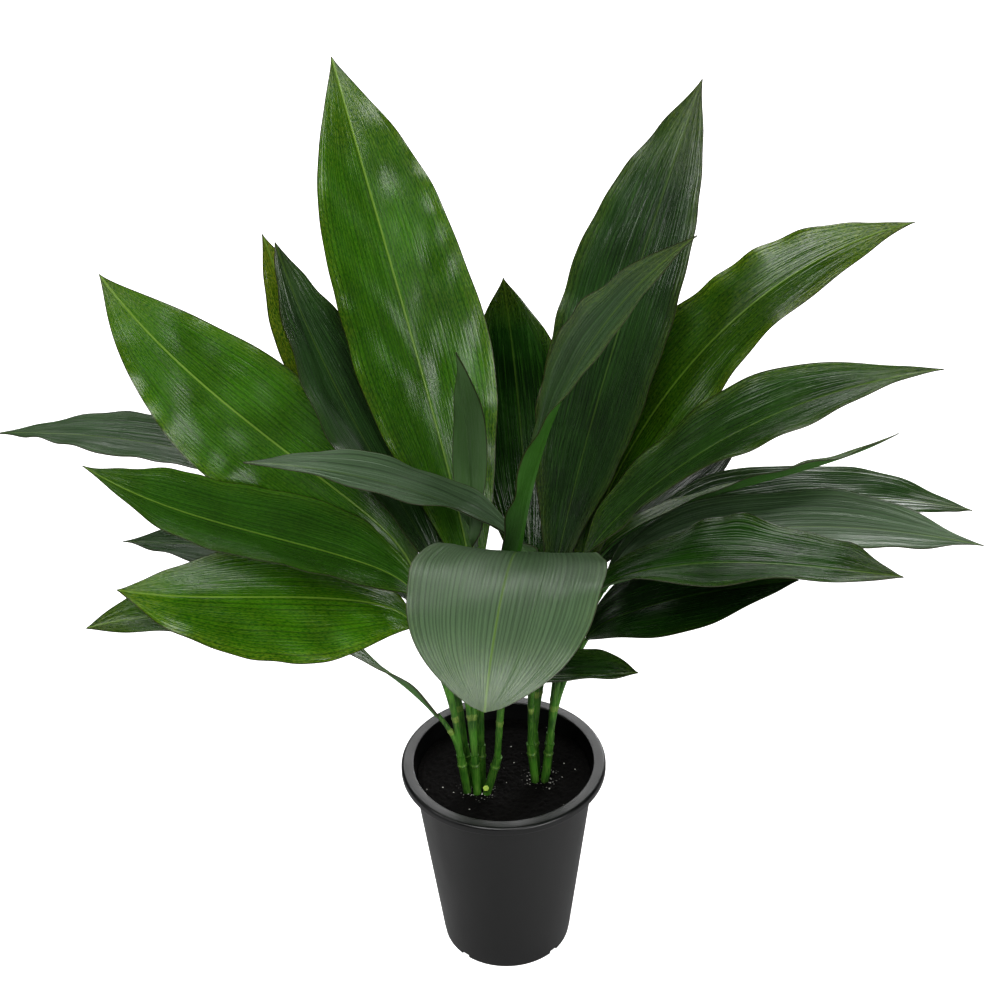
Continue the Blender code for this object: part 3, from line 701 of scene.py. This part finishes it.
# %% Stem measures
SOCKET_DEPTH = 0.0200
CANE_RADIUS = 0.0035
CANE_SKIN = 0.00355  # radius above the soil
CANE_RING = 0.0044
CANE_RING_DOWN = 0.008  # metres from the fork down to the ring
RING_SPREAD = 0.0011
PETIOLE_BASE_RADIUS = 0.0027
PETIOLE_TIP_RADIUS = 0.0019
PETIOLE_RING = 0.0032
PETIOLE_RING_AT = 0.042
STUB_CANE, STUB_LENGTH, STUB_RADIUS, STUB_AZIMUTH, STUB_LEAN = "c", 0.0095, 0.0024, 262, 38
STUB_STEPS = 7
STEM_SIDES = 24
FLUTE = 0.035  # depth of the flutes, as a share of the radius
print("canes:", len(CANES), "stalks:", len(LEAVES))


# %% Tubes

def tube(path, radii, sides, ridges=0.0):
    path = np.asarray(path, float)
    ahead = np.gradient(path, axis=0)
    ahead /= np.linalg.norm(ahead, axis=1)[:, None]
    side = np.cross(ahead, (0.31, 0.95, 0.04))
    side /= np.linalg.norm(side, axis=1)[:, None]
    up = np.cross(ahead, side)
    turn = np.arange(sides) * 2.0 * pi / sides
    ring = (np.cos(turn)[None, :, None] * side[:, None, :]
            + np.sin(turn)[None, :, None] * up[:, None, :])
    flute = 1.0 - ridges * (0.5 - 0.5 * np.cos(turn * sides / 4))
    points = path[:, None, :] + (np.asarray(radii)[:, None] * flute[None, :])[:, :, None] * ring
    faces, last = [], (len(path) - 1) * sides
    for row in range(0, last, sides):
        for k in range(sides):
            n = (k + 1) % sides
            faces.append([row + k, row + n, row + sides + n, row + sides + k])
    faces.append(list(range(sides))[::-1])
    faces.append(list(range(last, last + sides)))
    return points.reshape(-1, 3), faces


# %% Joining and cutting
def outward(piece):
    work = bmesh.new()
    work.from_mesh(piece.data)
    bmesh.ops.recalc_face_normals(work, faces=work.faces[:])
    work.to_mesh(piece.data)
    work.free()
    return piece


def combine(target, others, operation):
    for other in others:
        step = target.modifiers.new("combine", "BOOLEAN")
        step.operation = operation
        step.solver = "EXACT"
        step.object = other
        bpy.context.view_layer.update()
        graph = bpy.context.evaluated_depsgraph_get()
        result = bpy.data.meshes.new_from_object(target.evaluated_get(graph))
        target.modifiers.clear()
        old, target.data = target.data, result
        bpy.data.meshes.remove(old)
        spent = other.data
        bpy.data.objects.remove(other)
        bpy.data.meshes.remove(spent)
    target.data.name = target.name
    target.data.shade_smooth()
    target.data.set_sharp_from_angle(angle=radians(40))
    return target


# %% Paths, radii and rings
def ring_shape(distance, height):
    return height * np.exp(-(distance / RING_SPREAD) ** 2)


def cane_shape(cane):
    x, y, azimuth, lean = CANES[cane]
    foot = np.array([x, y, SOIL_TOP])
    way = direction(azimuth, lean)
    along = np.linspace(0.010, CANE_LENGTH + 0.003, 30)
    ring = CANE_LENGTH - CANE_RING_DOWN
    radii = CANE_SKIN + ring_shape(along - ring, CANE_RING - CANE_SKIN)
    path = [foot - (0, 0, SOCKET_DEPTH), foot + (0, 0, 0.001)] + [foot + way * a for a in along]
    return np.array(path), np.concatenate([[CANE_RADIUS] * 2, radii]), [foot + way * ring]


def stalk_shape(data):
    path = petiole_path(data)
    s = np.linspace(0.0, 1.0, len(path))
    places = np.linspace(0.0, 1.0, 90)
    length = data["petiole"]
    ring = min(PETIOLE_RING_AT, length * 0.6) / length
    points = np.stack([np.interp(places, s, path[:, k]) for k in range(3)], -1)
    radii = PETIOLE_BASE_RADIUS + (PETIOLE_TIP_RADIUS - PETIOLE_BASE_RADIUS) * places
    radii = radii + ring_shape((places - ring) * length, PETIOLE_RING - PETIOLE_BASE_RADIUS)
    return points, radii, [np.array([np.interp(ring, s, path[:, k]) for k in range(3)])]


def stub_shape(cane):
    x, y = CANES[cane][:2]
    foot = np.array([x, y, SOIL_TOP + 0.002])
    way = direction(STUB_AZIMUTH, STUB_LEAN)
    path = foot + way * np.linspace(0.0, STUB_LENGTH, STUB_STEPS)[:, None]
    return path, np.full(STUB_STEPS, STUB_RADIUS), []


print("ring of cane a:", cane_shape("a")[2][0].round(3))


# %% Stems
def stem_places(spots, shapes):
    """How far each point is from a ring, and whether it is the cut end."""
    best = np.full(len(spots), np.inf)
    found = np.zeros((len(spots), 3))
    rings = np.array([ring for shape in shapes for ring in shape[2]])
    for path, radii, _ in shapes:
        lengths = np.concatenate([[0], np.cumsum(np.linalg.norm(np.diff(path, axis=0), axis=1))])
        gaps = np.linalg.norm(spots[:, None, :] - path[None, :, :], axis=2)
        near = gaps.argmin(1)
        miss = gaps[np.arange(len(spots)), near] / radii[near]
        closer = miss < best
        best[closer] = miss[closer]
        found[closer, 2] = (len(path) == STUB_STEPS) * (lengths[near][closer] > STUB_LENGTH * 0.9)
    found[:, 0] = np.linalg.norm(spots[:, None, :] - rings[None, :, :], axis=2).min(1)
    return found


def make_stem(cane):
    shapes = [cane_shape(cane)] + [stalk_shape(data) for data in LEAVES.values() if data["cane"] == cane]
    if cane == STUB_CANE:
        shapes.append(stub_shape(cane))
    pieces = []
    for path, radii, _ in shapes:
        points, faces = tube(path, radii, STEM_SIDES, FLUTE)
        pieces.append(outward(mesh_piece("stalk" if pieces else "stalks_" + cane, points, faces)))
    stem = combine(pieces[0], pieces[1:], "UNION")
    found = stem_places(np.array([v.co for v in stem.data.vertices]), shapes)
    layer = stem.data.attributes.new("stem_place", "FLOAT_VECTOR", "POINT")
    layer.data.foreach_set("vector", found.astype(np.float32).ravel())
    return stem


STEMS = {}
for cane in CANES:
    stem = make_stem(cane)
    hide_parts("stem_" + cane)
    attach(stem, "root")
    STEMS[cane] = stem
print("stems:", len(STEMS), "points:", sum(len(s.data.vertices) for s in STEMS.values()))

# %% [markdown]
# ### Finish of the stems: green stalk skin
# The stalks are mid green with long paler streaks, the joint rings are nearly yellow and the cut end is
# fresh. The skin is a little glossy (IOR 1.46). The streaks could be real grooves, but at under a
# millimetre a bump looks the same.

# %% Green stalk skin
STALK_GREEN = "#4a8428"
STALK_DARK = "#2f5c1e"
STALK_STREAK = "#7da54c"
RING_PALE = "#b4c368"
CUT_GREEN = "#a9c83c"
STALK_LINE = 1 / 1100  # metres between streaks
STALK_CLOUD = 1 / 60  # metres across a lighter part
STALK_RELIEF = 0.00012
RING_REACH = 0.0042  # metres from a ring's middle to the end of its pale band

stalk, tree = new_finish("green_stalk_skin")
spot = add(tree, "Attribute", attribute_name="stem_place").outputs["Vector"]
ringward, _, cut = add(tree, "SeparateXYZ", [spot]).outputs
where = add(tree, "TexCoord").outputs["Object"]
long_way = add(tree, "VectorMath", [where, (1.0, 1.0, 0.06)], operation="MULTIPLY")
lines = add(tree, "TexNoise", {
    "Vector": long_way, "Scale": 1 / STALK_LINE, "Detail": 3.0, "Roughness": 0.6})
clouds = add(tree, "TexNoise", {"Vector": where, "Scale": 1 / STALK_CLOUD})
cloud = add(tree, "MapRange", [clouds, 0.35, 0.65])
tint = add(tree, "Mix", {0: cloud, 6: linear(STALK_DARK), 7: linear(STALK_GREEN)}, **COLOURS)
line = add(tree, "MapRange", [lines, 0.45, 0.70, 0.0, 0.6])
tint = add(tree, "Mix", {0: line, 6: tint, 7: linear(STALK_STREAK)}, **COLOURS)
joint = add(tree, "MapRange", [ringward, RING_REACH, RING_REACH - 0.0005])
broken = add(tree, "MapRange", [lines, 0.3, 0.7, 0.1, 0.55])
pale = add(tree, "Math", [joint, broken], operation="MULTIPLY")
tint = add(tree, "Mix", {0: pale, 6: tint, 7: linear(RING_PALE)}, **COLOURS)
tint = add(tree, "Mix", {0: cut, 6: tint, 7: linear(CUT_GREEN)}, **COLOURS)
shine = add(tree, "MapRange", [clouds, 0.3, 0.7, 0.34, 0.46])
grooves = add(tree, "Bump", {"Height": lines, "Strength": 1.0, "Distance": STALK_RELIEF})
green = add(tree, "BsdfPrincipled", {
    "Base Color": tint, "IOR": 1.46, "Normal": grooves, "Roughness": shine})
add(tree, "OutputMaterial", {"Surface": green})
for stem in STEMS.values():
    stem.data.materials.clear()
    stem.data.materials.append(stalk)
print("stalk skin nodes:", len(tree.nodes))

# %% [markdown]
# ## Pot
# A round nursery pot, injection moulded in black polypropylene: a thin tapered wall, a turned-out rim
# with a rounded top, and four notches at the foot that let water out. A turned profile gives the wall,
# the rim and every rounding at once, and the notches are then cut from the foot.

# %% Pot measures
POT_HEIGHT = 0.186
POT_BASE_RADIUS = 0.0537
POT_WALL_TOP_RADIUS = 0.0755
POT_WALL = 0.0020
POT_FLOOR = 0.0025
POT_EDGE_ROUND = 0.0022
RIM_RADIUS = 0.0850
RIM_HEIGHT = 0.0075
RIM_ROUND = 0.0026
POT_SEGMENTS = 144
DRAIN_WIDTH = 0.0085
DRAIN_HEIGHT = 0.0042
DRAIN_ANGLES = (-43.0, 47.0, 137.0, 227.0)
RIM_EDGE = 0.0012  # rounding at the rim's lower edge and inner lip
slope = (POT_WALL_TOP_RADIUS - POT_BASE_RADIUS) / (POT_HEIGHT - RIM_HEIGHT)
print("wall leans out", round(1000 * slope), "mm a metre")


# %% Turning

def lathe(profile, segments):
    points, rows, faces = [], [], []
    for radius, height in profile:
        if radius == 0.0:
            rows.append([len(points)] * segments)
            points.append((0.0, 0.0, height))
            continue
        rows.append(list(range(len(points), len(points) + segments)))
        for k in range(segments):
            turn = 2.0 * pi * k / segments
            points.append((radius * cos(turn), radius * sin(turn), height))
    for i in range(len(profile) - 1):
        for k in range(segments):
            n = (k + 1) % segments
            loop = [rows[i][k], rows[i][n], rows[i + 1][n], rows[i + 1][k]]
            face = [p for j, p in enumerate(loop) if p not in loop[:j]]
            if len(face) > 2:
                faces.append(face)
    return points, faces


def arc(centre, radius, first, last, steps):
    turns = [radians(first + (last - first) * k / steps) for k in range(steps + 1)]
    return [(centre[0] + radius * cos(t), centre[1] + radius * sin(t)) for t in turns]


def pot_profile():
    """Radius and height, up the outside from the middle of the foot and down the inside."""
    under = POT_HEIGHT - RIM_HEIGHT
    inner = POT_BASE_RADIUS - POT_WALL + slope * POT_FLOOR
    lip = POT_BASE_RADIUS - POT_WALL + slope * POT_HEIGHT
    profile = [(0.0, 0.0)]
    profile += arc((POT_BASE_RADIUS - POT_EDGE_ROUND, POT_EDGE_ROUND), POT_EDGE_ROUND, -90, 0, 8)
    for k in range(1, 30):
        height = POT_EDGE_ROUND + (under - POT_EDGE_ROUND - 0.0006) * k / 29
        profile.append((POT_BASE_RADIUS + slope * height, height))
    profile.append((POT_WALL_TOP_RADIUS + 0.0008, under))
    profile.append((RIM_RADIUS - RIM_EDGE, under + 0.0002))
    profile += arc((RIM_RADIUS - RIM_EDGE, under + RIM_EDGE), 0.0010, -80, 0, 4)
    profile += arc((RIM_RADIUS - RIM_ROUND - 0.0002, POT_HEIGHT - RIM_ROUND), RIM_ROUND, 0, 90, 9)
    profile += arc((lip + RIM_EDGE, POT_HEIGHT - RIM_EDGE), RIM_EDGE, 90, 180, 6)
    for k in range(1, 25):
        height = POT_HEIGHT - RIM_EDGE + (POT_FLOOR + 0.002 - POT_HEIGHT + RIM_EDGE) * k / 24
        profile.append((POT_BASE_RADIUS - POT_WALL + slope * height, height))
    return profile + [(inner - 0.0015, POT_FLOOR), (0.0, POT_FLOOR)]


print("points in the profile:", len(pot_profile()))


# %% Pot
def drain_cutter(angle):
    out = np.array([cos(radians(angle)), sin(radians(angle)), 0.0])
    side = np.array([-out[1], out[0], 0.0])
    corners = [out * reach + side * across + np.array([0.0, 0.0, height])
               for reach in (POT_BASE_RADIUS - 0.0090, POT_BASE_RADIUS + 0.0100)
               for across in (-DRAIN_WIDTH / 2, DRAIN_WIDTH / 2) for height in (-0.003, DRAIN_HEIGHT)]
    mesh = bpy.data.meshes.new("notch")
    mesh.from_pydata([tuple(c) for c in corners], [], [
        [0, 1, 3, 2], [4, 6, 7, 5], [0, 4, 5, 1], [2, 3, 7, 6], [0, 2, 6, 4], [1, 5, 7, 3]])
    notch = bpy.data.objects.new("notch", mesh)
    scene.collection.objects.link(notch)
    return outward(notch)


def make_pot():
    points, faces = lathe(pot_profile(), POT_SEGMENTS)
    pot = outward(mesh_piece("nursery_pot", points, faces))
    return combine(pot, [drain_cutter(angle) for angle in DRAIN_ANGLES], "DIFFERENCE")


pot = make_pot()
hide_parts("pot")
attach(pot, "root")
print("pot points:", len(pot.data.vertices))

# %% [markdown]
# ### Finish of the pot: moulded polypropylene
# Recycled black polypropylene is really a very dark grey, with an IOR of 1.49. The mould leaves a fine
# even grain, so the wall has a broad, soft shine (roughness about 0.4), and the plastic flowed upward,
# which shows as faint upright clouds. One flat black would look painted.

# %% Moulded polypropylene
POT_GREY = "#0c0c0d"
POT_LIGHTER = "#121213"
POT_CLOUD = 1 / 45  # metres across a cloud
POT_GRAIN = 0.0008  # metres, drawn twice as coarse as the real mould grain so that it shows
GRAIN_RELIEF = 0.00006
RIM_POLISH = 0.04  # the rim is handled more, so it is a little smoother

plastic, tree = new_finish("moulded_polypropylene")
where = add(tree, "TexCoord").outputs["Object"]
upright = add(tree, "VectorMath", [where, (1.0, 1.0, 0.25)], operation="MULTIPLY")
flow = add(tree, "TexNoise", {"Vector": upright, "Scale": 1 / POT_CLOUD, "Detail": 3.0})
sand = add(tree, "TexNoise", {"Vector": where, "Scale": 1 / POT_GRAIN})
cloud = add(tree, "MapRange", [flow, 0.3, 0.7])
tint = add(tree, "Mix", {0: cloud, 6: linear(POT_GREY), 7: linear(POT_LIGHTER)}, **COLOURS)
height = add(tree, "SeparateXYZ", [where]).outputs["Z"]
rim_foot = POT_HEIGHT - RIM_HEIGHT
rim_shine = add(tree, "MapRange", [height, rim_foot - 0.001, rim_foot, 0.0, -RIM_POLISH])
shine = add(tree, "MapRange", [flow, 0.3, 0.7, 0.35, 0.43])
shine = add(tree, "Math", [shine, rim_shine], operation="ADD")
grain = add(tree, "Bump", {"Height": sand, "Strength": 1.0, "Distance": GRAIN_RELIEF})
satin = add(tree, "BsdfPrincipled", {
    "Base Color": tint, "IOR": 1.49, "Specular IOR Level": 0.8, "Normal": grain, "Roughness": shine})
add(tree, "OutputMaterial", {"Surface": satin})
pot.data.materials.clear()
pot.data.materials.append(plastic)
print("pot finish nodes:", len(tree.nodes))

# %% [markdown]
# ## Potting mix
# Dark peat, raked flat a little below the rim. It is one mass that holds the canes up, so it is one solid
# and not loose crumbs. Its top is a fine round sheet raised by random mounds of one to five
# millimetres, and it closes down to the pot's floor, with a hole for each cane.

# %% Crumbly top
SOIL_SEGMENTS = 300
SOIL_RINGS = 110
SOIL_SEED = 5
CRUMBS = 5200
CRUMB_RADIUS = (0.0006, 0.0024)
CRUMB_RISE = 0.55  # height of a mound, as a share of its radius
CRUMB_TOP = 0.0016  # metres that a mound may rise
SOIL_DIP = 0.0010  # metres from the soil line down to the ground between crumbs
BARE_EDGE = 0.93  # share of the radius where the mix starts to fall to the wall


def crumb_lift(x, y, edge):
    lift = np.zeros(len(x))
    dice = np.random.default_rng(SOIL_SEED)
    for _ in range(CRUMBS):
        far, way = edge * np.sqrt(dice.uniform()), dice.uniform(0, 2 * pi)
        cx, cy = far * cos(way), far * sin(way)
        size = CRUMB_RADIUS[0] + (CRUMB_RADIUS[1] - CRUMB_RADIUS[0]) * dice.uniform() ** 3
        near = np.flatnonzero((np.abs(x - cx) < size) & (np.abs(y - cy) < size))
        if len(near):
            gap = np.hypot(x[near] - cx, y[near] - cy) / size
            mound = size * CRUMB_RISE * np.sqrt(np.clip(1 - gap * gap, 0, 1)) * dice.uniform(0.5, 1.0)
            lift[near] = np.maximum(lift[near], mound)
    return lift


print("crumbs:", CRUMBS, "up to", 2000 * CRUMB_RADIUS[1], "mm wide")


# %% Potting mix
def make_soil():
    inner = POT_BASE_RADIUS - POT_WALL - GAP
    low = POT_FLOOR + GAP
    edge = inner + slope * SOIL_TOP - 0.0004
    radius = edge * np.linspace(0.0, 1.0, SOIL_RINGS + 1)[1:]
    turn = np.arange(SOIL_SEGMENTS) * 2 * pi / SOIL_SEGMENTS
    x = np.concatenate([[0.0], np.outer(radius, np.cos(turn)).ravel()])
    y = np.concatenate([[0.0], np.outer(radius, np.sin(turn)).ravel()])
    lift = crumb_lift(x, y, edge)
    far = np.hypot(x, y) / edge
    z = SOIL_TOP - SOIL_DIP + np.minimum(lift, CRUMB_TOP) + 0.0005 * (1 - far ** 2)
    z = z - 0.0008 * np.clip((far - BARE_EDGE) / (1 - BARE_EDGE), 0, 1)
    points = [np.stack([x, y, z], -1)]
    for height in (SOIL_TOP * 0.5, low + 0.001, low):
        wide = inner + slope * height - (0.0008 if height == low else 0.0)
        points.append(np.stack([wide * np.cos(turn), wide * np.sin(turn), 0 * turn + height], -1))
    points = np.vstack(points + [[[0.0, 0.0, low]]])
    k = np.arange(SOIL_SEGMENTS)
    n = (k + 1) % SOIL_SEGMENTS
    faces = np.stack([np.zeros_like(k), 1 + k, 1 + n], -1).tolist()
    for i in range(SOIL_RINGS + 2):
        a, b = 1 + i * SOIL_SEGMENTS, 1 + (i + 1) * SOIL_SEGMENTS
        faces += np.stack([a + k, b + k, b + n, a + n], -1).tolist()
    a = 1 + (SOIL_RINGS + 2) * SOIL_SEGMENTS
    faces += np.stack([a + k, np.full_like(k, len(points) - 1), a + n], -1).tolist()
    soil = outward(mesh_piece("potting_mix", points, faces, sharp=80))
    cutters = []
    for x, y, _, _ in CANES.values():
        path = [(x, y, SOIL_TOP - SOCKET_DEPTH - GAP), (x, y, SOIL_TOP + 0.01)]
        points, faces = tube(path, [CANE_RADIUS + GAP] * 2, 20)
        cutters.append(outward(mesh_piece("socket", points, faces)))
    return combine(soil, cutters, "DIFFERENCE")


soil = make_soil()
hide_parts("potting_soil")
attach(soil, "root")
print("soil points:", len(soil.data.vertices))

# %% [markdown]
# ### Finish of the potting mix: peat
# Peat is almost black, with nearly no shine (roughness 0.85 and up). White grains of perlite and dried
# glue lie on it, mostly round the feet of the stems. They are flat specks under two millimetres, so
# they are part of the finish and not scattered stones.

# %% Peat
PEAT_BLACK = "#080606"
PEAT_BROWN = "#181513"
PERLITE = "#e6e4de"
PEAT_FIBRE = 1 / 420  # metres, the size of a lighter crumb
PEAT_RELIEF = 0.0006
PERLITE_CELL = 0.0022  # metres between places where a white grain may lie
CLUMP_REACH = 0.017  # metres round each clump where grains are common
CLUMPS = ((-0.0215, -0.0200, SOIL_TOP), (0.0305, -0.0060, SOIL_TOP))

peat, tree = new_finish("dark_peat")
where = add(tree, "TexCoord").outputs["Object"]
crumbs = add(tree, "TexNoise", {
    "Vector": where, "Scale": 1 / PEAT_FIBRE, "Detail": 3.0, "Roughness": 0.65})
crumb = add(tree, "MapRange", [crumbs, 0.4, 0.75])
tint = add(tree, "Mix", {0: crumb, 6: linear(PEAT_BLACK), 7: linear(PEAT_BROWN)}, **COLOURS)
dots = add(tree, "TexVoronoi", {"Vector": where, "Scale": 1 / PERLITE_CELL})
chance = add(tree, "SeparateColor", [dots.outputs["Color"]]).outputs[0]
speck = add(tree, "MapRange", [dots.outputs["Distance"], 0.36, 0.24])
rare = add(tree, "MapRange", [chance, 0.984, 0.99])
common = add(tree, "MapRange", [chance, 0.40, 0.45])
for clump in CLUMPS:
    gap = add(tree, "VectorMath", [where, clump], operation="DISTANCE").outputs["Value"]
    close = add(tree, "MapRange", [gap, CLUMP_REACH, 0.008])
    close = add(tree, "Math", [close, common], operation="MULTIPLY")
    rare = add(tree, "Math", [rare, close], operation="MAXIMUM")
white = add(tree, "Math", [speck, rare], operation="MULTIPLY")
tint = add(tree, "Mix", {0: white, 6: tint, 7: linear(PERLITE)}, **COLOURS)
dust = add(tree, "MapRange", [crumbs, 0.3, 0.7, 0.85, 0.98])
crumbly = add(tree, "Bump", {"Height": crumbs, "Strength": 1.0, "Distance": PEAT_RELIEF})
dull = add(tree, "BsdfPrincipled", {
    "Base Color": tint, "Roughness": dust, "Normal": crumbly, "Specular IOR Level": 0.25})
add(tree, "OutputMaterial", {"Surface": dull})
soil.data.materials.clear()
soil.data.materials.append(peat)
print("peat finish nodes:", len(tree.nodes))
